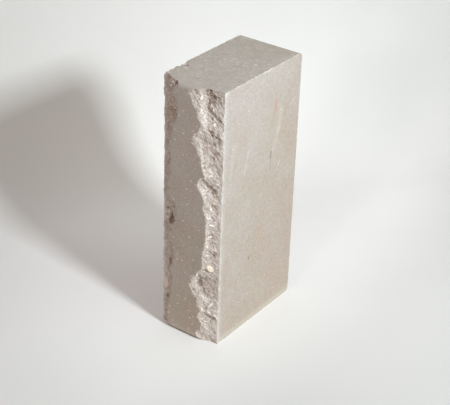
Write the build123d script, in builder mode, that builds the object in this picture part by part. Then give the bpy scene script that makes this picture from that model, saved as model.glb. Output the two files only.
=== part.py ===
from build123d import *
from math import asin, atan2, degrees, hypot, sqrt
import os

# Hyper-pressed facing brick, standing on one header end.
# Z runs up its length, X through its thickness and Y across its width.
# The stretcher at -Y is the rock face: a flat pressed band between two spalled arrises.

# Driving dimensions, in millimetres
brick_length = 250.0
brick_width = 120.0
brick_thickness = 65.0

# The mould rounds the four arrises that run through the thickness
mould_radius = 5.0

# The spalls break out from a strike line on each bed face, this far behind the front
strike_depth_right = 6.6
strike_depth_left = 8.6

# Reach of each scar across the front from its bed face, evenly spaced from just below the
# bottom end to just above the top end
reach_right = [
    18.5, 20.5, 14.5, 19.5, 19.0, 24.0, 28.0, 24.0, 15.5, 15.5, 14.0, 12.5, 12.0,
    12.5, 16.0, 16.0, 21.5, 16.5, 18.0, 22.5, 28.0, 21.0, 23.0, 26.5, 32.5, 32.5,
]
reach_left = [
    15.5, 14.5, 11.5, 12.0, 14.5, 14.5, 16.5, 16.5, 18.5, 16.0, 12.0, 15.0, 20.0,
    19.5, 11.0, 11.0, 12.5, 13.5, 12.5, 13.5, 15.5, 19.5, 20.5, 19.5, 16.5, 21.5,
]

# A scar is hollow: its arc sinks below the straight line across it by this share of its reach
scar_hollow = 0.12

# The arris between the upper end and the left bed face has lost one chip
chip_length = 11.0
chip_depth = 3.5
chip_from_front = 31.5

# Cutters run on this far past the brick's faces
overcut = 5.0

bed_x = brick_thickness / 2
front_y = -brick_width / 2


def scar_arc(reach, strike_depth):
    """Hollow arc from past the bed face, through the strike line and the band's edge, to past the front."""
    chord = hypot(reach, strike_depth)
    slope = degrees(atan2(strike_depth, reach))
    sag = scar_hollow * reach
    radius = chord**2 / (8 * sag) + sag / 2
    half_angle = degrees(asin(chord / (2 * radius)) + overcut / radius)
    middle = Vector(bed_x - reach / 2, front_y + strike_depth / 2)
    center = middle + Vector(radius - sag, 0).rotate(Axis.Z, slope - 90)
    return CenterArc(center, radius, slope + 90 - half_angle, 2 * half_angle)


def spall(side, reaches, strike_depth):
    """What has broken off one arris, lofted through a hollow section at each station.

    The side is 1 for the arris at +X and -1 for the one at -X, where the section's plane is turned over.
    """
    outer_y = front_y - 2 * overcut
    pitch = (brick_length + 2 * overcut) / (len(reaches) - 1)
    with BuildPart() as missing:
        for index, reach in enumerate(reaches):
            height = index * pitch - overcut
            level = Plane(origin=(0, 0, height), x_dir=(side, 0, 0), z_dir=(0, 0, side))
            with BuildSketch(level):
                with BuildLine():
                    arc = scar_arc(reach, strike_depth)
                    Polyline(arc @ 0, ((arc @ 0).X, outer_y), ((arc @ 1).X, outer_y), arc @ 1)
                make_face()
        loft(ruled=True)
    return missing.part


right_spall = spall(1, reach_right, strike_depth_right)
left_spall = spall(-1, reach_left, strike_depth_left)

# A ball centred off the arris bites out a chip of the stated length and depth
chip_offset = ((chip_length / 2) ** 2 - chip_depth**2) / (2 * chip_depth)
chip_radius = sqrt(2 * chip_offset**2 + (chip_length / 2) ** 2)

with BuildPart() as brick:
    # The mould's outline, pressed through the thickness
    with BuildSketch(Plane.YZ.offset(-bed_x)):
        with Locations((0, brick_length / 2)):
            RectangleRounded(brick_width, brick_length, mould_radius)
    extrude(amount=brick_thickness)

    add(right_spall, mode=Mode.SUBTRACT)
    add(left_spall, mode=Mode.SUBTRACT)

    with Locations((-bed_x - chip_offset, front_y + chip_from_front, brick_length + chip_offset)):
        Sphere(chip_radius, mode=Mode.SUBTRACT)

brick.part.label = "brick"
os.makedirs("parts", exist_ok=True)
export_step(brick.part, "parts/brick.step")
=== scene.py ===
import math

import bpy
import numpy as np
from mathutils import Matrix, Vector


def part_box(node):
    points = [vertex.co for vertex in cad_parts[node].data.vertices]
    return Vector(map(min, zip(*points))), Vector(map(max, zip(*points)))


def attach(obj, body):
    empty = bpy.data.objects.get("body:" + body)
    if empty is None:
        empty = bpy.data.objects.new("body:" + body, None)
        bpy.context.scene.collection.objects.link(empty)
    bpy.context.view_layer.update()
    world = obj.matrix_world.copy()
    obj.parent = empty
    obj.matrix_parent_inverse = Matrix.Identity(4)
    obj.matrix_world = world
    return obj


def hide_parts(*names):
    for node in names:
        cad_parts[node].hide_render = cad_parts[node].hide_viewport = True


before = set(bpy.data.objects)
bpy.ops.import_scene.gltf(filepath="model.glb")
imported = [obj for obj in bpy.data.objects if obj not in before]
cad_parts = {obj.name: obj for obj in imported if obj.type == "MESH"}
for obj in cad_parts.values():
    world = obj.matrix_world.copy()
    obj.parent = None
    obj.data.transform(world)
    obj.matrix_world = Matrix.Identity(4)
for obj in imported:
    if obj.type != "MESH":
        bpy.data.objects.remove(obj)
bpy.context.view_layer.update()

# The shape is worked out in millimetres and put into the mesh in metres
MM = 0.001

# The brick's outer size comes from the frame
low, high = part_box("brick")
HALF_X = (high.x - low.x) / 2 / MM
HALF_Y = (high.y - low.y) / 2 / MM
LENGTH = (high.z - low.z) / MM

# Right is the side at +X, left is the side at -X
RIGHT, LEFT = 1, -1

# Sizes that the solid in the frame has too
MOULD_RADIUS = 5.0
STRIKE_DEPTH = {RIGHT: 6.6, LEFT: 8.6}
SCAR_HOLLOW = 0.12

# On the right the blow eased off below this height: over this far, by this much
EASE_FROM, EASE_OVER, EASE_DEPTH = 165, 40, 0.8

# By side: how bowed the scar is, how far the blow's depth wavers, and a shift for its own noise
SCAR_BOW = {RIGHT: 1.0, LEFT: 1.3}
STRIKE_WAVER = {RIGHT: 0.35, LEFT: 0.9}
NOISE_SHIFT = {RIGHT: 0, LEFT: 300}

# The scars' hollow varies about this middle by up to this much, both as shares of SCAR_HOLLOW
HOLLOW_MIDDLE, HOLLOW_SPREAD = 0.65, 0.35

# The torn edges of the pressed band, from the bottom up, as height and X
BAND_EDGE = {
    RIGHT: [
        (-2, 14), (3, 13), (8, 12.5), (10.5, 13), (12, 17.5), (19, 18), (22, 16.5), (24, 13),
        (28, 13.5), (32, 16), (34, 16.5), (36, 14), (38, 12.5), (43, 13), (46, 12.5), (47, 8),
        (50, 7.5), (53, 6), (55, 4), (60, 5), (66, 5.8), (68, 8), (69, 10.5), (73, 12),
        (75.5, 14.5), (77, 16), (80, 18), (88, 17.5), (96, 17.5), (100, 19), (107, 20.5),
        (115, 20.8), (120, 20.5), (126, 20.8), (130, 20), (136, 18.5), (139, 17), (141, 16.5),
        (144, 18.5), (150, 17), (153, 14.5), (157, 12), (160, 11), (163, 10.8), (166, 12),
        (169, 15), (171, 18), (176, 15.5), (184, 14.5), (188.5, 13.5), (190, 9.8), (195, 9.5),
        (197, 7.5), (197.8, 4.5), (199, 3.3), (202, 4.5), (205, 5), (208.5, 6.5), (209.5, 9.5),
        (214, 11.5), (216, 13.5), (220, 13), (222, 11), (225, 9), (230, 9), (232, 7.5),
        (234, 5.5), (238, 3.5), (243, 1.5), (245, -0.5), (247, 3.0), (252, 5.0),
    ],
    LEFT: [
        (-2, -16), (4, -17), (7, -19), (11, -20.5), (15, -21), (25, -21), (28, -19.5),
        (30, -20), (36, -18), (43, -17), (49, -18), (54.5, -16), (56, -15.5), (61, -17.5),
        (68, -16.5), (75, -14.5), (77, -13), (84, -13.5), (88, -15), (92, -17), (95, -20.5),
        (98, -21), (101, -20), (103, -17.5), (105, -15.5), (107, -17), (110, -18.5),
        (112, -15), (116, -13.5), (120, -12.3), (124, -12.5), (128, -13.5), (131, -12),
        (134, -14), (137, -15), (138.5, -18), (140, -23), (145, -21), (149, -20.5),
        (151, -22.5), (156, -20.5), (162, -19), (170, -18.5), (180, -18.5), (183.5, -20),
        (184.5, -22), (187, -21), (190, -19.5), (198, -17.5), (206, -17.5), (209, -16),
        (212, -13), (220, -11.8), (228, -11.5), (230, -10.8), (233, -13), (236, -13.5),
        (238, -15.5), (240, -17.5), (242, -17), (244, -15), (246, -12), (252, -11),
    ],
}

# How far the torn edges wander off those lines: on the left, on the right, and how much more on the
# right below this height, over this far
WANDER_LEFT, WANDER_RIGHT, WANDER_MORE = 2.6, 1.0, 0.9
WANDER_FROM, WANDER_OVER = 95, 30

# Steps in the scars, each from one point down to another on the front, as X, height, rise and half
# width. With a rise above zero the rock stands proud above and to the right of the step, whose face
# looks down and is dark. With one below zero it falls away there, in a slope that takes light.
# Each step also paints the rock's tone: painted shade by a proud step, a painted highlight on a
# slope.
STEPS = [
    ((16.5, 235.8), (24.4, 228.4), 2.0, 1.4),
    ((24.4, 228.4), (32.5, 221.0), 2.4, 1.5),
    ((17.8, 216.5), (22, 211.3), 1.8, 1.4),
    ((22, 211.3), (30, 207.0), 2.4, 1.5),
    ((14.5, 168.5), (19.5, 160.8), 1.6, 0.9),
    ((19.5, 160.8), (26.5, 156.8), 1.8, 0.9),
    ((14, 70), (13, 60), 0.9, 1.6),
    ((13, 60), (21, 51), 1.0, 1.8),
    ((18.5, 32.2), (32.5, 26.4), 3.8, 1.5),
    ((-13.0, 122), (-16.0, 108), 2.2, 0.9),
    ((22, 190), (28, 183), 0.6, 0.7),
    ((23, 146), (29, 139), 0.5, 0.7),
    ((20, 100), (26, 94), 0.5, 0.7),
    ((10.5, 250), (13.3, 231.2), -2.4, 2.2),
    ((13.3, 231.2), (18.0, 215.0), -2.4, 2.2),
    ((12.5, 198.8), (19.0, 167.4), -1.8, 2.0),
    ((13.7, 164.1), (19.0, 143.8), -1.7, 1.8),
    ((21.5, 128), (21.5, 88), -0.8, 1.5),
    ((11.0, 68), (9.0, 59.5), -1.4, 2.2),
    ((9.0, 59.5), (13.5, 52.5), -0.8, 2.8),
    ((13.5, 52.5), (21.8, 44.5), -0.8, 3.0),
    ((17.3, 36.4), (18.6, 31.5), -0.9, 1.4),
    ((16.0, 26.5), (22.7, 14.5), -1.9, 1.7),
]

# Way off from a step over which it fades, its painted highlight and shade, and how wide they reach
STEP_FADE = 4.0
STEP_PAINTED_HIGHLIGHT, STEP_PAINTED_SHADE, STEP_PAINT_WIDTH = 0.45, -1.0, 1.3

# Hollows in the scars, as X, height, half width, half height and depth
SCOOPS = [
    (16.6, 247.5, 3.8, 5.2, 1.0),
    (19.8, 241.3, 5.2, 5.2, 0.8),
    (17, 66, 5, 8, 0.25),
    (24, 110, 4, 6, 0.4),
    (-13.9, 247.2, 2.6, 3.6, 2.0),
    (-18.5, 114.5, 3.0, 8.0, 1.6),
    (-21, 31, 3, 5, 0.9),
    (-19, 71, 3.5, 5, 0.8),
]

# Powers that give the hollows their section, and their darkening, partly brown binder and partly
# painted shade
SCOOP_SECTION, SCOOP_SHADE = 1.2, 0.5

# Stones laid bare in the scars: X, height, half length, half width, turn in degrees, tilt towards
# the right-hand end, rise and kind
CREAM, SHARD, PINK = 0, 1, 2
STONES = [
    (24.2, 79.2, 3.6, 2.2, -60, 0.35, 0.9, CREAM),
    (25.9, 41.9, 3.9, 0.9, 53, 0.60, 0.6, SHARD),
    (30.4, 31.2, 1.6, 1.1, -20, 0.50, 0.6, SHARD),
    (24.4, 33.0, 1.9, 0.6, -33, 0.50, 0.5, SHARD),
    (25.3, 124.4, 2.2, 0.8, -20, 0.60, 0.6, SHARD),
    (23.6, 112.3, 1.3, 0.8, -30, 0.50, 0.5, SHARD),
    (23.5, 139.9, 0.9, 1.4, 10, 0.50, 0.5, SHARD),
    (22.1, 171.7, 1.4, 0.9, 30, 0.50, 0.5, SHARD),
    (23.8, 219.9, 1.0, 1.5, 0, 0.40, 0.5, SHARD),
    (11.1, 241.2, 0.9, 1.7, 0, 0.50, 0.4, SHARD),
    (11.8, 69.5, 0.8, 1.4, -10, 0.50, 0.4, SHARD),
    (17.8, 34.7, 0.9, 1.6, -20, 0.50, 0.4, SHARD),
    (22.4, 233.4, 0.9, 1.3, -30, 0.50, 0.4, SHARD),
    (-27.4, 43.0, 4.4, 5.2, -12, 0.15, 1.0, PINK),
    (-19.9, 131.8, 0.9, 0.7, 0, 0.40, 0.4, SHARD),
    (-29.6, 116.4, 2.3, 0.9, 5, 0.40, 0.4, SHARD),
    (-24.4, 118.8, 1.8, 0.8, 0, 0.40, 0.4, SHARD),
    (-24.8, 114.0, 1.8, 0.8, 10, 0.40, 0.4, SHARD),
    (-19.6, 244.4, 1.4, 0.9, 50, 0.40, 0.4, SHARD),
    (-29.5, 9.0, 1.3, 0.8, 20, 0.30, 0.4, PINK),
]

# The stones lean back this much, this power squares their outline, and this share of grain stays
STONE_LEAN, STONE_SQUARENESS, STONE_GRAIN = 0.25, 2.4, 0.3

# The right scar's grain runs down at 45 degrees. The left one's lies nearly level, is drawn out
# because its place along the grain counts for only this share, and is shifted from the right one's.
SLANT = 0.707
LEVEL, DIP, LEFT_SHARE, LEFT_SHIFT = 0.95, 0.3, 0.6, 420

# At its foot the right scar has only this share of the relief. The rest comes in from this height
# upwards, over this far.
CALM_SHARE, CALM_FROM, CALM_OVER = 0.7, 60, 80

# Way in from the torn edge over which the relief grows, and the least depth that a scar keeps
RELIEF_OVER, LEAST_DEPTH = 1.2, 0.12

# The "inward" attribute reaches 1 this far into a scar, in millimetres
EDGE_REACH = 5.0

# Chips out of the arrises: corner point, the way out of the corner, length and depth
CHIPS = [
    ((-HALF_X, -26.5, LENGTH), (-1, 0, 1), 14.0, 2.0),
    ((-HALF_X, -31.6, LENGTH), (-1, 0, 1), 6.8, 3.2),
    ((-HALF_X, -38.5, LENGTH), (-1, 0, 1), 5.0, 0.8),
    ((-HALF_X, -41.5, LENGTH), (-1, 0, 1), 6.0, 1.3),
    ((-HALF_X, -47.0, LENGTH), (-1, 0, 1), 6.0, 1.8),
    ((-28.4, -27.8, LENGTH), (0, 0, 1.41), 5.6, 2.2),
    ((-HALF_X, -51.4, LENGTH), (-1, 0, 1), 5.0, 1.8),
    ((-HALF_X, 55.5, LENGTH), (-1, 0, 1), 2.6, 0.8),
    ((HALF_X, 10.0, LENGTH), (1, 0, 1), 4.6, 0.9),
    ((HALF_X, 4.5, LENGTH), (1, 0, 1), 2.6, 0.5),
    ((HALF_X, -14.0, LENGTH), (1, 0, 1), 2.6, 0.4),
    ((HALF_X, -34.0, LENGTH), (1, 0, 1), 3.0, 0.4),
    ((HALF_X, 38.0, LENGTH), (1, 0, 1), 3.2, 0.5),
    ((HALF_X, -52.6, 197.5), (1, -1, 0), 3.4, 0.8),
    ((HALF_X, -53.0, 224.0), (1, -1, 0), 3.0, 0.7),
    ((HALF_X, -53.4, 157.0), (1, -1, 0), 3.0, 0.7),
    ((HALF_X, -53.4, 108.5), (1, -1, 0), 2.2, 0.8),
    ((HALF_X, -53.4, 4.0), (1, -1, 0), 3.0, 0.8),
]

# Small pits whose inside is painted dark brown as painted shade, as place and radius
PITS_PAINTED_DARK = [((-28.4, -28.2, LENGTH - 1.0), 2.9), ((-31.2, -46.0, LENGTH - 0.6), 1.2)]

# How uneven the chips are, as a share of their depth, and how that noise is laid over the brick
UNEVEN_CHIPS = 0.45
SKEW_U, SKEW_V, SKEW_SHIFT = 0.5, 0.7, 200

# Crumbling along each end, back and strike-line arris: the number of bites, and the range of their
# places along it, their lengths and their depths as a share of the length
END_CRUMBS = (26, (-HALF_Y + 6, HALF_Y - 3), (1.4, 3.8), (0.08, 0.17))
BACK_CRUMBS = (55, (4, LENGTH - 4), (1.4, 3.2), (0.07, 0.12))
STRIKE_CRUMBS = (60, (3, LENGTH - 3), (1.4, 3.0), (0.12, 0.24))

# The same for longer bites along the left strike line, whose depths are in millimetres
LEFT_COUNT, LEFT_PLACES, LEFT_LENGTHS, LEFT_DEPTHS = 10, (6, LENGTH - 12), (3.5, 7), (0.6, 1.2)
CRUMB_SEED = 31

# Grid spacing over the front, rings over a rounded corner, rows across the bed faces and the ends,
# and the share of evenness in how the rows are spaced
FRONT_PITCH = 0.45
CORNER_RINGS = 12
DEPTH_ROWS = 120
ROW_EVENNESS = 0.6

# The mesh is thinned to this many triangles, and looks smooth where it bends by less than this
MAX_TRIANGLES = 195000
SMOOTH_BELOW = math.radians(38)

# Random lattices repeat after this many cells and are entered this far in. A bowl's middle keeps
# off the rim of its cell.
LATTICE, LATTICE_SHIFT = 128, 40.0
BOWL_MIDDLES = (0.05, 0.95)


def ramp(value, reach):
    """0 up to zero, rising evenly to 1 at that reach."""
    return np.clip(value / reach, 0, 1)


def lattice_cell(u, v, cell):
    """Places on a lattice of that cell size, and the numbers of the cells that they are in."""
    a, b = u / cell + LATTICE_SHIFT, v / cell + LATTICE_SHIFT
    return a, b, np.floor(a).astype(int), np.floor(b).astype(int)


def smooth_noise(u, v, cell, seed, height=1.0):
    """Random heights of up to about that much either way, smooth between cells of that size."""
    table = np.random.default_rng(seed).uniform(-1, 1, (LATTICE, LATTICE))
    a, b, i, j = lattice_cell(u, v, cell)
    s, t = a - i, b - j
    s, t = s * s * (3 - 2 * s), t * t * (3 - 2 * t)
    i, i_next, j, j_next = i % LATTICE, (i + 1) % LATTICE, j % LATTICE, (j + 1) % LATTICE
    lower = table[i, j] * (1 - s) + table[i_next, j] * s
    upper = table[i, j_next] * (1 - s) + table[i_next, j_next] * s
    return height * (lower * (1 - t) + upper * t)


def scallops(u, v, height, stretch, cell, level, tilt, bowl, seed):
    """Outward heights of small shell-shaped breaks: tilted bowls that meet in sharp ridges."""
    rng = np.random.default_rng(seed)
    middle = rng.uniform(*BOWL_MIDDLES, (2, LATTICE, LATTICE))
    base = rng.uniform(-level, level, (LATTICE, LATTICE))
    slope = rng.normal(0, tilt, (2, LATTICE, LATTICE))
    a, b, i0, j0 = lattice_cell(u / stretch, v, cell)
    lowest = np.full(a.shape, np.inf)
    for di in (-1, 0, 1):
        for dj in (-1, 0, 1):
            i, j = (i0 + di) % LATTICE, (j0 + dj) % LATTICE
            du, dv = a - (i0 + di) - middle[0, i, j], b - (j0 + dj) - middle[1, i, j]
            own = base[i, j] + slope[0, i, j] * du + slope[1, i, j] * dv
            lowest = np.minimum(lowest, own + bowl * (du * du + dv * dv))
    return height * lowest


def distance_to_line(x, z, line):
    """Distance of each point of the front to an open line of points, given as height and X."""
    best = np.full(x.shape, np.inf)
    for (z0, x0), (z1, x1) in zip(line, line[1:]):
        dx, dz = x1 - x0, z1 - z0
        along = np.clip(((x - x0) * dx + (z - z0) * dz) / (dx * dx + dz * dz), 0, 1)
        best = np.minimum(best, np.hypot(x - x0 - along * dx, z - z0 - along * dz))
    return best


def strike_depth(side, z):
    """How deep the blow went in at the bed face, which is a little less low down on the right."""
    eased = EASE_DEPTH * ramp(EASE_FROM - np.asarray(z), EASE_OVER)
    return STRIKE_DEPTH[side] - (eased if side == RIGHT else 0)


def mould_setback(z):
    """How far the mould's rounded corners draw a stretcher in, at each height."""
    from_end = np.minimum(np.minimum(z, LENGTH - z), MOULD_RADIUS)
    return MOULD_RADIUS - np.sqrt(np.maximum(0, MOULD_RADIUS**2 - (MOULD_RADIUS - from_end) ** 2))


def step_relief(x, z):
    """Outward height that the steps add, each on both of its sides, and their painted highlight and
    shade.
    """
    relief, pale = np.zeros(x.shape), np.zeros(x.shape)
    waver = smooth_noise(x, z, cell=1.6, seed=14, height=0.5)
    for (x0, z0), (x1, z1), rise, width in STEPS:
        dx, dz = x1 - x0, z1 - z0
        size = math.hypot(dx, dz)
        along = ((x - x0) * dx + (z - z0) * dz) / size**2
        across = ((z - z0) * dx - (x - x0) * dz) / size + waver

        # Full over the middle half of the step, and gone a quarter of its length past its ends
        within = np.clip(1.5 - np.abs(along - 0.5) * 2, 0, 1)
        relief += rise / 2 * np.tanh(across / width) * within * np.exp(-np.abs(across) / STEP_FADE)
        # Painted light: a highlight beside a falling slope, shade beside a proud step
        tone = STEP_PAINTED_HIGHLIGHT if rise < 0 else STEP_PAINTED_SHADE
        pale += tone * within * np.exp(-(across / (STEP_PAINT_WIDTH * width)) ** 2)
    return relief, pale


def scoop_relief(x, z):
    """Outward height that the hollows add, and their darkening, partly brown binder and partly
    painted shade, both below zero.
    """
    relief, pale = np.zeros(x.shape), np.zeros(x.shape)
    for x0, z0, half_x, half_z, depth in SCOOPS:
        inner = np.clip(1 - (((x - x0) / half_x) ** 2 + ((z - z0) / half_z) ** 2), 0, 1)
        relief -= depth * inner**SCOOP_SECTION
        # Darker inside the hollow: partly brown binder, partly painted shade
        pale -= min(1, depth) * inner**SCOOP_SHADE
    return relief, pale


def stone_shapes(x, z):
    """Rise of the bared stones, and which kind of stone each point is on, or -1."""
    rise = np.zeros(x.shape)
    kind = np.full(x.shape, -1)
    for x0, z0, half_u, half_v, turn, tilt, height, name in STONES:
        c, s = math.cos(math.radians(turn)), math.sin(math.radians(turn))
        u, v = (x - x0) * c + (z - z0) * s, (z - z0) * c - (x - x0) * s
        reach = np.abs(u / half_u) ** STONE_SQUARENESS + np.abs(v / half_v) ** STONE_SQUARENESS
        dome = np.clip(1 - reach, 0, 1) ** 0.5
        own = height * dome - tilt * (x - x0) - STONE_LEAN * (z - z0)
        rise = np.where(reach < 1, own, rise)
        kind = np.where(reach < 1, name, kind)
    return rise, kind


def scar_depth(x, z):
    """Depth of the scars below the front plane, and how far in from the torn edge each point is."""
    depth = np.zeros(x.shape)
    inside = np.zeros(x.shape)
    on_right = WANDER_RIGHT + WANDER_MORE * ramp(WANDER_FROM - z, WANDER_OVER)
    wander = np.where(x > 0, on_right, WANDER_LEFT)
    sideways = smooth_noise(x, z, cell=2.2, seed=11, height=0.5)
    sideways = sideways + smooth_noise(x, z, cell=0.9, seed=12, height=0.35)
    warp_x = x + wander * sideways
    warp_z = z + smooth_noise(x, z, cell=2.4, seed=13, height=0.6)
    middle = np.zeros(x.shape)
    for side, edge in BAND_EDGE.items():
        heights, xs = zip(*edge)
        beyond = side * (warp_x - np.interp(warp_z, heights, xs)) > 0
        from_band = np.where(beyond, distance_to_line(warp_x, warp_z, edge), 0)
        from_bed = np.maximum(HALF_X - side * x, 0)
        whole = np.maximum(from_band + from_bed, 1e-6)
        share = (from_band / whole) ** SCAR_BOW[side]
        own_z = z + NOISE_SHIFT[side]
        spread = smooth_noise(middle, own_z, cell=22, seed=15, height=HOLLOW_SPREAD)
        hollow = SCAR_HOLLOW * (HOLLOW_MIDDLE + spread)
        waver = smooth_noise(middle, own_z, cell=6, seed=16, height=STRIKE_WAVER[side])
        strike = strike_depth(side, z) + waver
        depth += np.where(beyond, strike * share + 4 * hollow * whole * share * (1 - share), 0)
        inside += from_band
    return depth, inside


def rock_relief(x, z, inside):
    """Outward height of the torn rock's grain, and its finer part, which also tints it."""
    left_along = LEFT_SHARE * (x * LEVEL + z * DIP) + LEFT_SHIFT
    left_across = z * LEVEL - x * DIP + LEFT_SHIFT
    u = np.where(x > 0, (x - z) * SLANT, left_along)
    v = np.where(x > 0, (x + z) * SLANT, left_across)
    lumps = smooth_noise(x, z, cell=8, seed=21, height=0.35)
    broad = scallops(
        u, v, height=0.85, stretch=1.5, cell=5.5, level=0.10, tilt=0.30, bowl=0.50, seed=22
    )
    grains = scallops(
        u, v, height=0.75, stretch=1.4, cell=2.4, level=0.15, tilt=0.40, bowl=0.55, seed=23
    )
    crumbs = scallops(
        u, v, height=0.45, stretch=1.3, cell=1.25, level=0.20, tilt=0.45, bowl=0.55, seed=24
    )
    fine = grains + crumbs

    # Each size of break needs that much room from the torn edge, and all are low at the bed face
    relief = lumps * ramp(inside, 4.0) + broad * ramp(inside, 2.5) + fine * ramp(inside, 0.8)
    near_bed = np.clip((HALF_X - np.abs(x)) / 4.0, 0.25, 1)
    rougher = ramp(z - CALM_FROM, CALM_OVER) * (1 - CALM_SHARE)
    calm = np.where(x > 0, rougher + CALM_SHARE, 1)
    return relief * near_bed * calm, fine


def front_surface(x, z):
    """Y of the front, whether it is torn, its stone or -1, how pale it is with painted light and
    shade, and its way in.
    """
    depth, inside = scar_depth(x, z)
    rise, stone = stone_shapes(x, z)
    grain, fine = rock_relief(x, z, inside)
    steps, step_painted_light = step_relief(x, z)
    scoops, dim = scoop_relief(x, z)
    relief = grain + steps + scoops
    relief = np.where(stone >= 0, relief * STONE_GRAIN + rise, relief)
    scar = np.maximum(depth - relief * ramp(inside, RELIEF_OVER), LEAST_DEPTH)
    depth = np.where(inside > 0, scar, 0)
    mould = mould_setback(z)
    torn = (depth > mould) & (inside > 0)

    # Crests of the fine grain are pale. The steps add painted highlight and painted shade, and the
    # hollows darken it, partly as painted shade.
    shade = np.clip(step_painted_light + 1.2 * dim, -1, 1)
    shade = shade * np.where(shade < 0, 0.5, 0.3)
    crest_and_painted_light = np.clip(0.5 + 0.8 * (fine - np.median(fine)) + shade, 0, 1)
    y = -HALF_Y + np.maximum(depth, mould)
    return y, torn, np.where(torn, stone, -1), crest_and_painted_light, ramp(inside, EDGE_REACH)


def ring_heights():
    """Heights of the rings, closer together round the mould's rounded corners."""
    bend = np.linspace(0, math.pi / 2, CORNER_RINGS + 1)
    low_end = MOULD_RADIUS * (1 - np.cos(bend))
    middle_count = int(round((LENGTH - 2 * MOULD_RADIUS) / FRONT_PITCH))
    middle = np.linspace(MOULD_RADIUS, LENGTH - MOULD_RADIUS, middle_count + 1)
    return np.concatenate([low_end[:-1], middle, LENGTH - low_end[-2::-1]])


def row_places():
    """Places of the rows from front to back, as 0 to 1, closer together near either."""
    even = np.linspace(0, 1, DEPTH_ROWS + 1)
    return ROW_EVENNESS * even + (1 - ROW_EVENNESS) * (1 - np.cos(math.pi * even)) / 2


def closed_rings(xs, heights, rows, front, back):
    """Points of one closed ring a level: front, right bed face, back, left bed face."""
    bed_x = np.full(DEPTH_ROWS, HALF_X)
    ring_x = np.concatenate([xs, bed_x, xs[-2::-1], -bed_x[1:]])
    rings = []
    for near, far, z in zip(front, back, heights):
        right = near[-1] + (far - near[-1]) * rows[1:]
        left = far + (near[0] - far) * rows[1:-1]
        ring_y = np.concatenate([near, right, np.full(len(xs) - 1, far), left])
        rings.append(np.stack([ring_x, ring_y, np.full(len(ring_x), z)], 1))
    return np.concatenate(rings)


def end_cap(level_ring, columns, front, back, rows, xs, z, first_new):
    """Grid of vertex numbers over one end, whose rim is the ring, and the points inside it."""
    grid = np.zeros((DEPTH_ROWS + 1, columns + 1), int)
    grid[0] = level_ring[:columns + 1]
    grid[:, -1] = level_ring[columns:columns + DEPTH_ROWS + 1]
    grid[-1] = level_ring[columns + DEPTH_ROWS:2 * columns + DEPTH_ROWS + 1][::-1]
    grid[1:-1, 0] = level_ring[:2 * columns + DEPTH_ROWS:-1]
    y = (front + (back - front) * rows[1:-1, None])[:, 1:-1]
    inner = np.stack([np.broadcast_to(xs[1:-1], y.shape), y, np.full(y.shape, z)], -1)
    grid[1:-1, 1:-1] = first_new + np.arange(y.size).reshape(y.shape)
    return grid, inner.reshape(-1, 3)


def brick_grid():
    """Points in millimetres, quads, which quads are torn, and each point's rock and way in."""
    heights, rows = ring_heights(), row_places()
    columns = int(round(2 * HALF_X / FRONT_PITCH))
    xs = np.linspace(-HALF_X, HALF_X, columns + 1)
    front, torn_front, stone, crest_and_painted_light, inward = front_surface(*np.meshgrid(xs, heights))
    back = HALF_Y - mould_setback(heights)

    around = 2 * (columns + DEPTH_ROWS)
    points = [closed_rings(xs, heights, rows, front, back)]
    total = around * len(heights)
    numbers = np.arange(total).reshape(len(heights), around)
    after = np.roll(numbers, -1, axis=1)
    quads = [np.stack([numbers[:-1], after[:-1], after[1:], numbers[1:]], -1).reshape(-1, 4)]
    wall_count = len(quads[0])
    for level, downward in ((0, True), (len(heights) - 1, False)):
        grid, inner = end_cap(
            numbers[level], columns, front[level], back[level], rows, xs, heights[level], total
        )
        points.append(inner)
        total += len(inner)
        a, b, c, d = grid[:-1, :-1], grid[:-1, 1:], grid[1:, 1:], grid[1:, :-1]
        quads.append(np.stack([a, d, c, b] if downward else [a, b, c, d], -1).reshape(-1, 4))
    points, quads = np.concatenate(points), np.concatenate(quads)

    # What the front's own points say: kind of stone, paleness with its painted light and shade, and
    # way in
    own = numbers[:, :columns + 1]
    rock = np.zeros((total, 4))
    rock[:, 3] = 0.5
    for kind in (CREAM, SHARD, PINK):
        rock[own, kind] = stone == kind
    rock[own, 3] = crest_and_painted_light
    way_in = np.zeros(total)
    way_in[own] = inward

    # A quad of the wall is torn where all its points are on the front and at least two are torn
    on_front, torn_point = np.zeros((2, total), bool)
    on_front[own] = True
    torn_point[own] = torn_front
    torn = on_front[quads].all(1) & (torn_point[quads].sum(1) >= 2)
    torn[wall_count:] = False
    return points, quads, torn, rock, way_in


def unevenness(points):
    """A rough value between about -1 and 1 for each point, which makes the chips uneven."""
    u = points[:, 0] + SKEW_U * points[:, 1] + SKEW_SHIFT
    v = points[:, 2] + SKEW_V * points[:, 1] + SKEW_SHIFT
    coarse = smooth_noise(u, v, cell=2.1, seed=41, height=0.65)
    return coarse + smooth_noise(u, v, cell=0.9, seed=42, height=0.35)


def bite(points, uneven, corner, outward, length, depth):
    """Presses a lumpy ball into an arris, to take out a chip of about that length and depth."""
    half = length / 2
    offset = (half**2 - depth**2) / (2 * depth)
    radius = math.sqrt(2 * offset**2 + half**2)
    center = np.array(corner) + np.array(outward) * offset
    away = points - center
    gap = np.linalg.norm(away, axis=1)
    reach = radius + UNEVEN_CHIPS * depth * uneven
    hit = (gap < reach) & (gap > 1e-6)
    points[hit] = center + away[hit] / gap[hit, None] * reach[hit, None]


def crumble(points, uneven, rng, crumbs, corner_at, outward):
    """Fine bites at random places along one arris, whose corner is given for each place."""
    count, places, lengths, shares = crumbs
    for _ in range(count):
        place = rng.uniform(*places)
        length = rng.uniform(*lengths)
        depth = length * rng.uniform(*shares)
        bite(points, uneven, corner_at(place), outward, length, depth)


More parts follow.
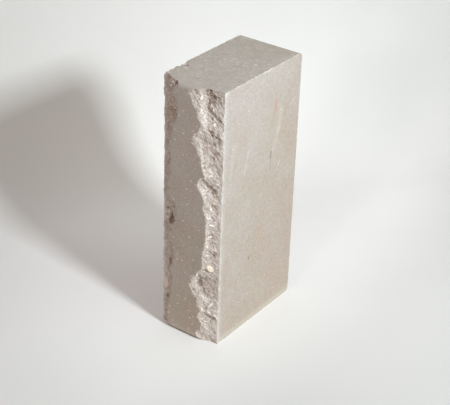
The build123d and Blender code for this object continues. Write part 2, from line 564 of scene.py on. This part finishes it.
def wear_arrises(points):
    """The named chips, and fine crumbling along the sharp arrises."""
    rng = np.random.default_rng(CRUMB_SEED)
    uneven = unevenness(points)
    for corner, outward, length, depth in CHIPS:
        bite(points, uneven, corner, outward, length, depth)

    for z, up in ((0, -1), (LENGTH, 1)):
        for side in (RIGHT, LEFT):
            def on_end(y):
                return side * HALF_X, y, z
            crumble(points, uneven, rng, END_CRUMBS, on_end, (side, 0, up))

    for side in (RIGHT, LEFT):
        def on_back(z):
            return side * HALF_X, HALF_Y, z

        def on_strike_line(z):
            return side * HALF_X, -HALF_Y + strike_depth(side, z), z
        crumble(points, uneven, rng, BACK_CRUMBS, on_back, (side, 1, 0))
        crumble(points, uneven, rng, STRIKE_CRUMBS, on_strike_line, (side, -1, 0))

    for _ in range(LEFT_COUNT):
        corner = (-HALF_X, -HALF_Y + STRIKE_DEPTH[LEFT], rng.uniform(*LEFT_PLACES))
        length, depth = rng.uniform(*LEFT_LENGTHS), rng.uniform(*LEFT_DEPTHS)
        bite(points, uneven, corner, (-1, -1, 0), length, depth)


def add_object(name, data):
    """A new object in the scene."""
    obj = bpy.data.objects.new(name, data)
    bpy.context.scene.collection.objects.link(obj)
    return obj


def build_brick():
    """The dressed brick as one closed mesh, thinned where it is flat."""
    points, quads, torn, rock, way_in = brick_grid()
    wear_arrises(points)
    for place, radius in PITS_PAINTED_DARK:
        near = np.linalg.norm(points - place, axis=1) < radius
        # Painted shade: the pit takes the darkest tone of the torn rock
        rock[near, 3] = 0
        way_in[near] = 1
        torn |= near[quads].sum(1) >= 2

    mesh = bpy.data.meshes.new("brick_body")
    mesh.vertices.add(len(points))
    mesh.vertices.foreach_set("co", (points * MM).ravel())
    mesh.loops.add(quads.size)
    mesh.loops.foreach_set("vertex_index", quads.ravel().astype(np.int32))
    mesh.polygons.add(len(quads))
    mesh.polygons.foreach_set("loop_start", np.arange(0, quads.size, 4, dtype=np.int32))
    mesh.polygons.foreach_set("material_index", torn.astype(np.int32))
    mesh.update(calc_edges=True)
    mesh.validate()
    mesh.attributes.new("rock", "FLOAT_COLOR", "POINT").data.foreach_set("color", rock.ravel())
    mesh.attributes.new("inward", "FLOAT", "POINT").data.foreach_set("value", way_in)

    brick = add_object("brick_body", mesh)
    thin = brick.modifiers.new("thin", "DECIMATE")
    thin.ratio = min(1.0, MAX_TRIANGLES / (2 * len(quads)))
    thin.use_collapse_triangulate = True
    depsgraph = bpy.context.evaluated_depsgraph_get()
    thinned = bpy.data.meshes.new_from_object(brick.evaluated_get(depsgraph))
    brick.modifiers.clear()
    brick.data = thinned
    thinned.shade_smooth()
    thinned.set_sharp_from_angle(angle=SMOOTH_BELOW)
    return brick


def linear(red, green, blue):
    """A colour given as 0 to 255 screen values, as the linear values that Blender mixes."""
    values = []
    for value in (red, green, blue):
        v = value / 255
        values.append(v / 12.92 if v <= 0.04045 else ((v + 0.055) / 1.055) ** 2.4)
    return (*values, 1.0)


# Sockets of the Mix node when it mixes colours
MIX_FACTOR, MIX_A, MIX_B, MIX_RESULT = 0, 6, 7, 2


class Nodes:
    """Short ways to add nodes to one material. A colour may be given as its screen values."""

    def __init__(self, name):
        self.material = bpy.data.materials.new(name)
        self.material.use_nodes = True
        self.tree = self.material.node_tree
        self.tree.nodes.clear()
        self.out = self.new("OutputMaterial")
        self.shader = self.new("BsdfPrincipled")
        self.put(self.out.inputs["Surface"], self.shader.outputs["BSDF"])
        self.point = self.vector("MULTIPLY", self.new("TexCoord").outputs["Object"], (1 / MM,) * 3)

    def new(self, kind):
        return self.tree.nodes.new("ShaderNode" + kind)

    def put(self, socket, value):
        if isinstance(value, bpy.types.NodeSocket):
            self.tree.links.new(value, socket)
        else:
            socket.default_value = value

    def math(self, operation, a, b=0.0):
        node = self.new("Math")
        node.operation = operation
        self.put(node.inputs[0], a)
        self.put(node.inputs[1], b)
        return node.outputs[0]

    def plus(self, a, b):
        return self.math("ADD", a, b)

    def minus(self, a, b):
        return self.math("SUBTRACT", a, b)

    def times(self, a, b):
        return self.math("MULTIPLY", a, b)

    def around(self, value, gain):
        """A value between 0 and 1, put round zero and made stronger."""
        return self.times(self.minus(value, 0.5), gain)

    def vector(self, operation, a, b=(0, 0, 0)):
        node = self.new("VectorMath")
        node.operation = operation
        self.put(node.inputs[0], a)
        self.put(node.inputs[1], b)
        is_number = operation in ("DISTANCE", "DOT_PRODUCT")
        return node.outputs["Value" if is_number else "Vector"]

    def join(self, a, b, c):
        node = self.new("CombineXYZ")
        for socket, value in zip(node.inputs, (a, b, c)):
            self.put(socket, value)
        return node.outputs[0]

    def split(self, vector):
        node = self.new("SeparateXYZ")
        self.put(node.inputs[0], vector)
        return node.outputs

    def attribute(self, name):
        node = self.new("Attribute")
        node.attribute_name = name
        return node.outputs

    def noise(self, size, detail=2.0, roughness=0.5, shift=(0, 0, 0), point=None):
        """Noise between 0 and 1 whose features are that many millimetres across."""
        node = self.new("TexNoise")
        self.put(node.inputs["Vector"], self.vector("ADD", point or self.point, shift))
        node.inputs["Scale"].default_value = 1 / size
        node.inputs["Detail"].default_value = detail
        node.inputs["Roughness"].default_value = roughness
        return node.outputs["Fac"]

    def cells(self, size, shift=(0, 0, 0), point=None):
        """Distance to the nearest grain, in cells, and three random values of that grain."""
        node = self.new("TexVoronoi")
        self.put(node.inputs["Vector"], self.vector("ADD", point or self.point, shift))
        node.inputs["Scale"].default_value = 1 / size
        return node.outputs["Distance"], self.split(node.outputs["Color"])

    def remap(self, value, span, to=(0.0, 1.0)):
        """The value, taken smoothly from one span to the other and held at their ends."""
        node = self.new("MapRange")
        node.interpolation_type = "SMOOTHSTEP"
        self.put(node.inputs["Value"], value)
        for name, number in zip(("From Min", "From Max", "To Min", "To Max"), (*span, *to)):
            node.inputs[name].default_value = number
        return node.outputs["Result"]

    def specks(self, size, fade, chosen, shift=(0, 0, 0)):
        """1 in the middle of grains in some of the cells, fading out over those cell shares."""
        gap, picks = self.cells(size, shift)
        return self.times(self.remap(gap, fade, (1, 0)), self.remap(picks[0], chosen))

    def mix(self, factor, a, b, blend="MIX"):
        """Colour or vector a, turned into b by the factor."""
        node = self.new("Mix")
        node.data_type, node.blend_type = "RGBA", blend
        node.clamp_factor = True
        self.put(node.inputs[MIX_FACTOR], factor)
        for index, value in ((MIX_A, a), (MIX_B, b)):
            self.put(node.inputs[index], linear(*value) if isinstance(value, tuple) else value)
        return node.outputs[MIX_RESULT]

    def shade(self, color, factor):
        """The colour made lighter or darker by a factor."""
        node = self.new("VectorMath")
        node.operation = "SCALE"
        self.put(node.inputs[0], linear(*color)[:3] if isinstance(color, tuple) else color)
        self.put(node.inputs["Scale"], factor)
        return node.outputs[0]

    def bump(self, height, distance):
        """Sets the shader's normal from a height, for relief of about that many metres."""
        node = self.new("Bump")
        node.inputs["Distance"].default_value = distance
        self.put(node.inputs["Height"], height)
        self.put(self.shader.inputs["Normal"], node.outputs[0])

    def from_segment(self, u, v, start, end, waver):
        """Distance of a point of a face from a wavering line drawn on it, in millimetres."""
        du, dv = end[0] - start[0], end[1] - start[1]
        size = math.hypot(du, dv)
        du, dv = du / size, dv / size
        u, v = self.minus(u, start[0]), self.minus(v, start[1])
        along = self.plus(self.times(u, du), self.times(v, dv))
        across = self.minus(self.times(u, dv), self.times(v, du))
        across = self.plus(across, self.times(waver, MARK_WAVER))
        past = self.minus(self.math("ABSOLUTE", self.minus(along, size / 2)), size / 2)
        past = self.math("MAXIMUM", past, 0)
        return self.plus(self.math("ABSOLUTE", across), self.times(past, MARK_END))


# Colours of the pressed faces as screen values: at the front and top, at the back and foot, and on
# the ends. Two factors push patches of them towards green and towards rose.
COOL_STONE, WARM_STONE, END_STONE = (190, 182, 177), (182, 168, 156), (173, 167, 157)
GREENER, ROSIER = (0.985, 1.012, 0.995), (1.01, 0.985, 0.985)
# The band's tint is rosier and also darkens the front face a little, as painted shade
CRUSHED_PATCH, BAND_TINT_AND_SHADE, BAND_GRAIN = (220, 221, 219), (251, 247, 244), (240, 232, 224)
# Painted shade along the foot, and a pale rim above it, partly worn arris and partly painted bounce
# light
PAINTED_FOOT_SHADE, RUBBED_AND_PAINTED_BOUNCE = (140, 128, 114), (212, 208, 196)
WORN_ARRIS, WORN_BIT, STRUCK = (236, 230, 225), (244, 240, 236), (236, 231, 228)

# Grains of the pressed faces: cell size, fade and choice of cells, shift, colour and strength
GRAINS = [
    (2.6, (0.11, 0.22), (0.72, 0.75), (0, 0, 0), (232, 225, 217), 0.45),
    (7.0, (0.05, 0.10), (0.62, 0.65), (7, 3, 5), (246, 241, 234), 0.65),
    (3.9, (0.075, 0.15), (0.80, 0.83), (1, 8, 4), (134, 118, 106), 0.50),
]

# What is on a bed face alone starts to show this far below it, and shows in full this near to it
FACE_FROM, FACE_FULL = 0.5, 0.2

# Marks on the right bed face, each from one point to another, as Y and height, with its half width,
# how much of it shows and its colour
CHALKY, RUSTY, SOOTY = (236, 229, 221), (196, 140, 116), (120, 110, 104)
MARK_WAVER, MARK_END = 0.4, 0.6
MARKS = [
    ((22.2, 210), (22.6, 216), 2.6, 0.40, RUSTY),
    ((21.8, 201), (22.2, 210), 2.2, 0.22, RUSTY),
    ((17.8, 162), (18.2, 168.5), 0.9, 0.6, SOOTY),
    ((18.5, 150), (18, 160), 0.8, 0.25, SOOTY),
    ((-9.7, 70.6), (-9.5, 71.4), 1.1, 0.75, SOOTY),
    ((-16.5, 184), (-19, 172), 0.35, 0.5, CHALKY),
    ((-19, 172), (-22, 161), 0.4, 0.5, CHALKY),
    ((44, 204.5), (53, 209.5), 0.4, 0.5, CHALKY),
    ((31, 205), (28.5, 188), 3.6, 0.14, CHALKY),
    ((28.5, 188), (22.5, 170), 3.2, 0.12, CHALKY),
    ((31, 150), (32.5, 153), 0.5, 0.7, CHALKY),
    ((19.5, 33.5), (21.5, 38.5), 1.2, 0.35, RUSTY),
    ((-40, 92), (-30, 60), 0.3, 0.3, CHALKY),
    ((11, 249), (4, 249), 1.0, 0.4, CHALKY),
    ((4.8, 248.2), (6.2, 248.6), 0.6, 0.5, SOOTY),
    ((-53, 248), (-49, 249), 1.6, 0.3, CHALKY),
    ((-38, 196), (-42, 168), 3.0, 0.10, CHALKY),
    ((3, 96), (5, 87), 4.0, 0.16, RUSTY),
]


def stone_color(n, y, z):
    """Cool and pale at the front and the top, warmer at the back and the foot, finely grained."""
    drift = n.plus(n.times(y, 0.003), n.times(z, -0.0022))
    drift = n.plus(drift, n.times(n.noise(26, 3), 1.1))
    color = n.mix(n.remap(drift, (-0.35, 0.65)), COOL_STONE, WARM_STONE)
    blotch = n.remap(n.noise(4.5, 3, 0.6), (0.25, 0.75), (0.965, 1.035))
    grain = n.remap(n.noise(1.1, 3, 0.75), (0.3, 0.7), (0.84, 1.14))
    color = n.shade(color, n.times(blotch, grain))
    upright = n.vector("MULTIPLY", n.point, (1, 1, 0.45))
    cast = n.noise(11, 5, 0.65, shift=(3, 1, 7), point=upright)
    greener, rosier = n.vector("MULTIPLY", color, GREENER), n.vector("MULTIPLY", color, ROSIER)
    return n.mix(n.remap(cast, (0.36, 0.64)), greener, rosier)


def add_patches(n, color, on_end):
    """Pale crushed patches, strongest on the ends, which are also mottled."""
    color = n.mix(n.times(on_end, 0.5), color, END_STONE)
    mottle = n.plus(n.around(n.noise(1.7, 4, 0.7), 0.45), n.around(n.noise(8, 3, 0.6), 0.35))
    color = n.shade(color, n.plus(n.times(on_end, mottle), 1.0))
    patch = n.remap(n.noise(3.4, 5, 0.75, shift=(3, 9, 2)), (0.50, 0.66))
    cluster = n.remap(n.noise(24, 3, 0.6, shift=(9, 1, 4)), (0.40, 0.60), (0.25, 1.0))
    amount = n.times(n.plus(0.10, n.times(on_end, 0.62)), cluster)
    return n.mix(n.times(patch, amount), color, CRUSHED_PATCH)


def add_grains(n, color, y):
    """Scattered pale and dark grains. The band is a little rosier and darker, the darkening painted
    shade, and shows its pale ones most.
    """
    for size, fade, chosen, shift, paint, strength in GRAINS:
        color = n.mix(n.times(n.specks(size, fade, chosen, shift), strength), color, paint)
    on_band = n.remap(y, (-HALF_Y + 0.6, -HALF_Y + 0.2))
    # Rosier tint on the band, which also darkens the front face as painted shade
    color = n.mix(on_band, color, BAND_TINT_AND_SHADE, "MULTIPLY")
    grain = n.times(n.specks(4.6, (0.12, 0.23), (0.55, 0.60), (4, 2, 6)), on_band)
    return n.mix(n.times(grain, 0.7), color, BAND_GRAIN)


def add_marks(n, color, x, y, z):
    """The right bed face's own marks, painted shade at the very foot, and a pale rim above it,
    partly worn and partly painted bounce light.
    """
    on_right = n.remap(x, (HALF_X - FACE_FROM, HALF_X - FACE_FULL))
    waver = n.around(n.noise(3, 2), 1.6)
    for start, end, half, strength, paint in MARKS:
        gap = n.from_segment(y, z, start, end, waver)
        seen = n.remap(gap, (half * 0.4, half * 1.4), (strength, 0))
        color = n.mix(n.times(seen, on_right), color, paint)
    # Painted contact shade at the foot of every face, then a pale rim: partly worn arris, partly
    # painted bounce light
    foot_height = n.plus(z, n.around(n.noise(5, 3, 0.6), 5.0))
    color = n.mix(n.remap(foot_height, (0.5, 4.0), (0.15, 0)), color, PAINTED_FOOT_SHADE)
    return n.mix(n.remap(foot_height, (2.0, 9.0), (0.40, 0)), color, RUBBED_AND_PAINTED_BOUNCE)


def whiten_arrises(n, color, x, y, off_bed, off_end):
    """Crushed and whitened along the arrises, most of all along the strike lines."""
    uneven = n.around(n.noise(2.0, 3, 0.7), 2.4)
    ends = n.plus(n.math("MAXIMUM", off_bed, off_end), uneven)
    backs = n.plus(n.math("MAXIMUM", off_bed, n.minus(HALF_Y, y)), uneven)
    nearest = n.math("MINIMUM", ends, backs)
    color = n.mix(n.remap(nearest, (-0.2, 0.8), (0.35, 0)), color, WORN_ARRIS)
    bit = n.specks(2.6, (0.25, 0.55), (0.50, 0.55), (2, 6, 1))
    color = n.mix(n.times(bit, n.remap(nearest, (0.4, 1.6), (0.8, 0))), color, WORN_BIT)
    patchy = n.remap(n.noise(7, 3, 0.6, shift=(5, 5, 5)), (0.38, 0.6), (0.45, 1.0))
    for side in (RIGHT, LEFT):
        beyond = n.plus(n.minus(y, -HALF_Y + STRIKE_DEPTH[side]), uneven)
        on_bed = n.remap(n.times(x, side), (HALF_X - FACE_FROM, HALF_X - FACE_FULL))
        here = n.times(patchy, on_bed)
        for reach, strength in ((3.0, 0.34), (7.0, 0.22)):
            white = n.times(n.remap(beyond, (0.0, reach), (strength, 0)), here)
            color = n.mix(white, color, STRUCK)
    return color


def pressed_material():
    """The dense faces that the mould pressed: matt, finely speckled, whitened along the arrises,
    with painted shade at the foot and on the front face, and painted bounce light above the foot.
    """
    n = Nodes("pressed_limestone")
    x, y, z = n.split(n.point)
    off_bed = n.minus(HALF_X, n.math("ABSOLUTE", x))
    off_end = n.math("MINIMUM", z, n.minus(LENGTH, z))
    on_end = n.remap(off_end, (0.6, 0.1))
    color = stone_color(n, y, z)
    color = add_patches(n, color, on_end)
    color = add_grains(n, color, y)
    color = add_marks(n, color, x, y, z)
    color = whiten_arrises(n, color, x, y, off_bed, off_end)
    n.put(n.shader.inputs["Base Color"], color)
    roughness = n.remap(n.noise(2.4, 3, 0.6), (0.3, 0.7), (0.92, 0.78))
    n.put(n.shader.inputs["Roughness"], roughness)
    n.shader.inputs["Specular IOR Level"].default_value = 0.3
    n.bump(n.plus(n.noise(0.8, 3, 0.6), n.times(n.noise(4, 2), 0.6)), 0.00015)
    return n.material


# Colours of the torn rock as screen values: from the hollows to the crests, with a painted glint,
# the tint of the left scar and the grains of pressed face that it keeps, the bared stones, and
# where the blow fell, which is partly crushed stone and partly painted light
BINDER, LIMESTONE, CREST, PAINTED_GLINT = (138, 116, 102), (208, 195, 186), (244, 239, 236), (246, 242, 237)
LEFT_TINT, LEFT_KEPT = (241, 232, 230), (186, 174, 167)
STONE_COLORS = {CREAM: (246, 232, 212), SHARD: (240, 234, 228), PINK: (240, 217, 202)}
BLOW_AND_PAINTED_LIGHT = (226, 218, 212)

# Directions along and across the rock's grain in either scar. A short one draws the grain out. The
# left scar's grain is shifted, so that it doesn't repeat the right one's.
RIGHT_WAYS = ((0.5, 0, -0.5), (SLANT, 0, SLANT))
LEFT_WAYS, LEFT_WAYS_SHIFT = ((0.45, 0, 0.15), (-0.35, 0, 1.1)), 50


def broken_material():
    """The torn rock of the scars: brown binder in the hollows, pale crushed stone on the crests,
    and painted light and shade.
    """
    n = Nodes("broken_limestone")
    x, y, _ = n.split(n.point)
    rock = n.attribute("rock")
    kinds = n.new("SeparateColor")
    n.put(kinds.inputs[0], rock["Color"])
    at_left = n.remap(x, (0, -4))

    # The grain runs slantwise at the right and nearly level at the left
    right_grain = n.join(*(n.vector("DOT_PRODUCT", n.point, way) for way in RIGHT_WAYS), y)
    shifted = n.plus(y, LEFT_WAYS_SHIFT)
    left_grain = n.join(*(n.vector("DOT_PRODUCT", n.point, way) for way in LEFT_WAYS), shifted)
    slant = n.mix(at_left, right_grain, left_grain)
    coarse = n.noise(2.3, 3, 0.6, point=slant)
    fine = n.noise(1.2, 2, 0.65, shift=(4, 7, 1), point=slant)

    # The hollows are dark and the crests pale, with the painted light and shade of the steps,
    # hollows and pits, and a painted glint in some grains
    tone = n.plus(n.around(rock["Alpha"], 1.5), n.around(coarse, 1.9))
    tone = n.plus(tone, n.around(fine, 2.2))
    color = n.mix(n.remap(tone, (-1.1, -0.05)), BINDER, LIMESTONE)
    color = n.mix(n.remap(tone, (0.0, 0.9)), color, CREST)
    # Painted glints: a painted highlight in the middle of some grains
    gap, picks = n.cells(1.9, point=slant)
    painted_glint = n.times(n.remap(picks[1], (0.86, 0.88)), n.remap(gap, (0.2, 0.45), (0.9, 0)))
    color = n.mix(painted_glint, color, PAINTED_GLINT)
    color = n.shade(color, n.remap(n.noise(9, 2), (0.3, 0.7), (0.95, 1.05)))

    # The left scar is browner, and ends softly in grains of the pressed face
    color = n.mix(at_left, color, LEFT_TINT, "MULTIPLY")
    within = n.times(n.attribute("inward")["Fac"], EDGE_REACH)
    within = n.plus(within, n.around(n.noise(1.3, 3, 0.7, shift=(2, 2, 8)), 5.0))
    kept = n.times(n.remap(within, (0.4, 2.2), (0.85, 0)), at_left)
    color = n.mix(kept, color, LEFT_KEPT)

    soft = n.remap(n.noise(1.2, 2), (0.3, 0.7), (0.93, 1.04))
    for kind, paint in STONE_COLORS.items():
        color = n.mix(n.remap(kinds.outputs[kind], (0.3, 0.7)), color, n.shade(paint, soft))

    # Crushed pale where the blow fell, along the bed faces, and partly painted light that lifts the
    # shade there
    from_bed = n.minus(HALF_X, n.math("ABSOLUTE", x))
    near = n.plus(from_bed, n.around(n.noise(2.2, 3, 0.7), 4.0))
    color = n.mix(n.remap(near, (0.2, 5.5), (0.7, 0)), color, BLOW_AND_PAINTED_LIGHT)
    n.put(n.shader.inputs["Base Color"], color)
    n.put(n.shader.inputs["Roughness"], n.remap(coarse, (0.3, 0.7), (0.88, 0.72)))
    n.shader.inputs["Specular IOR Level"].default_value = 0.35
    n.bump(n.plus(n.plus(coarse, n.times(fine, 0.5)), n.times(gap, -0.3)), 0.0012)
    return n.material


# A painted pool of light on the paper: palest round this point, dimming over these distances from
# it and over these X
PAPER, PAPER_PALEST = (244, 243, 242), (-28, 136, 51)
PAPER_DIM_AWAY, PAPER_DIM_ACROSS, PAPER_DIM = (158, 379), (13, 144), (1.0, 0.81)


def paper_material():
    """Pale paper for the floor and the backdrop, with a painted pool of light on it."""
    n = Nodes("pale_paper")
    away = n.vector("DISTANCE", n.point, PAPER_PALEST)
    # Painted pool of light: the paper dims away from one point and across X
    color = n.shade(PAPER, n.remap(away, PAPER_DIM_AWAY, PAPER_DIM))
    color = n.shade(color, n.remap(n.split(n.point)[0], PAPER_DIM_ACROSS, PAPER_DIM))
    color = n.shade(color, n.remap(n.noise(180, 2), (0.3, 0.7), (0.985, 1.01)))
    n.put(n.shader.inputs["Base Color"], color)
    n.shader.inputs["Roughness"].default_value = 0.9
    n.shader.inputs["Specular IOR Level"].default_value = 0.2

    # The back of the paper is clear, so that it hides nothing when it is looked at from behind
    either = n.new("MixShader")
    n.put(either.inputs[0], n.new("NewGeometry").outputs["Backfacing"])
    n.put(either.inputs[1], n.shader.outputs["BSDF"])
    n.put(either.inputs[2], n.new("BsdfTransparent").outputs["BSDF"])
    n.put(n.out.inputs["Surface"], either.outputs[0])
    return n.material


# Camera, fitted to the brick's corners in the photograph
CAMERA_AT = Vector((564.8, -791.6, 671.1)) * MM
CAMERA_AIM = Vector((-1.7, -1.2, 112.9)) * MM
CAMERA_ROLL = math.radians(1.85)
CAMERA_LENS, CAMERA_SENSOR = 98.76, 36.0
CAMERA_CLIP = (0.05, 20.0)


def make_camera():
    """The photograph's own view."""
    data = bpy.data.cameras.new("camera")
    data.lens, data.sensor_width = CAMERA_LENS, CAMERA_SENSOR
    data.clip_start, data.clip_end = CAMERA_CLIP
    camera = add_object("camera", data)
    turn = (CAMERA_AIM - CAMERA_AT).to_track_quat("-Z", "Y").to_matrix().to_4x4()
    roll = Matrix.Rotation(CAMERA_ROLL, 4, "Z")
    camera.matrix_world = Matrix.Translation(CAMERA_AT) @ turn @ roll
    bpy.context.scene.camera = camera


# The paper lies level round the brick and rises behind it, towards this direction, in metres
RISE_TOWARD = Vector((-0.81, 0.588, 0)).normalized()
RISE_FROM, RISE_BEND, RISE_SLOPE, RISE_STEPS = 0.184, 0.13, math.radians(75), 16
PAPER_HALF_WIDTH, PAPER_FRONT, PAPER_TOP = 7.0, -7.0, 1.4


def make_backdrop():
    """One sheet of paper: a level floor that slopes up behind the brick."""
    across = Vector((RISE_TOWARD.y, -RISE_TOWARD.x, 0))
    profile = [(PAPER_FRONT, 0.0), (RISE_FROM, 0.0)]
    for step in range(1, RISE_STEPS + 1):
        angle = RISE_SLOPE * step / RISE_STEPS
        rise = RISE_BEND * (1 - math.cos(angle))
        profile.append((RISE_FROM + RISE_BEND * math.sin(angle), rise))
    last_distance, last_height = profile[-1]
    run = (PAPER_TOP - last_height) / math.tan(RISE_SLOPE)
    profile.append((last_distance + run, PAPER_TOP))
    points, faces = [], []
    for distance, height in profile:
        for side in (-PAPER_HALF_WIDTH, PAPER_HALF_WIDTH):
            points.append(RISE_TOWARD * distance + across * side + Vector((0, 0, height)))
    for k in range(0, len(points) - 2, 2):
        faces.append((k, k + 1, k + 3, k + 2))
    mesh = bpy.data.meshes.new("backdrop")
    mesh.from_pydata(points, [], faces)
    mesh.shade_smooth()
    mesh.materials.append(paper_material())
    backdrop = add_object("backdrop", mesh)


# Square soft lights: name, angle round from +X and angle up in degrees, distance and size in
# metres, power and colour. All face the same point of the brick.
LIGHTS = [
    ("key", -13, 32, 1.2, 0.17, 13.1, (0.87, 0.94, 0.98)),
    ("fill", -79.5, 24, 3.0, 0.3, 8.8, (1.0, 0.95, 0.89)),
    ("side", 20, 40, 3.0, 2.0, 10.5, (0.80, 1.0, 0.85)),
    ("above", 0, 90, 3.0, 2.0, 16.6, (0.88, 0.88, 1.0)),
]
LIGHT_AIM = Vector((0, 0, 0.12))

# The room's light on the brick, and the plain pale background that is seen past the paper
ROOM_COLOR, ROOM_STRENGTH = (1.0, 0.73, 0.49, 1), 0.17
SEEN_COLOR = (0.78, 0.78, 0.77, 1)


def make_lights():
    """The soft lights of the table above, each turned to face the brick."""
    for name, azimuth, elevation, distance, size, power, color in LIGHTS:
        data = bpy.data.lights.new(name, "AREA")
        data.size, data.energy, data.color = size, power, color
        light = add_object(name, data)
        turn, lift = math.radians(azimuth), math.radians(elevation)
        level = math.cos(lift)
        direction = Vector((math.cos(turn) * level, math.sin(turn) * level, math.sin(lift)))
        light.location = LIGHT_AIM + direction * distance
        light.rotation_mode = "QUATERNION"
        light.rotation_quaternion = (-direction).to_track_quat("-Z", "Y")


def make_world():
    """A warm dim room, shown as a plain pale background to the camera and in reflections."""
    world = bpy.data.worlds.new("studio")
    bpy.context.scene.world = world
    world.use_nodes = True
    nodes, links = world.node_tree.nodes, world.node_tree.links
    nodes.clear()
    rays = nodes.new("ShaderNodeLightPath")
    seen_by = rays.outputs["Is Camera Ray"]
    for ray in ("Is Glossy Ray", "Is Transmission Ray"):
        either = nodes.new("ShaderNodeMath")
        either.operation = "MAXIMUM"
        links.new(seen_by, either.inputs[0])
        links.new(rays.outputs[ray], either.inputs[1])
        seen_by = either.outputs[0]
    room = nodes.new("ShaderNodeBackground")
    room.inputs["Color"].default_value = ROOM_COLOR
    room.inputs["Strength"].default_value = ROOM_STRENGTH
    seen = nodes.new("ShaderNodeBackground")
    seen.inputs["Color"].default_value = SEEN_COLOR
    shown = nodes.new("ShaderNodeMixShader")
    out = nodes.new("ShaderNodeOutputWorld")
    links.new(seen_by, shown.inputs[0])
    links.new(room.outputs[0], shown.inputs[1])
    links.new(seen.outputs[0], shown.inputs[2])
    links.new(shown.outputs[0], out.inputs["Surface"])


brick = build_brick()
brick.data.materials.append(pressed_material())
brick.data.materials.append(broken_material())
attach(brick, "root")
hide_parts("brick")

make_camera()
make_backdrop()
make_lights()
make_world()
bpy.context.scene.view_settings.view_transform = "Standard"
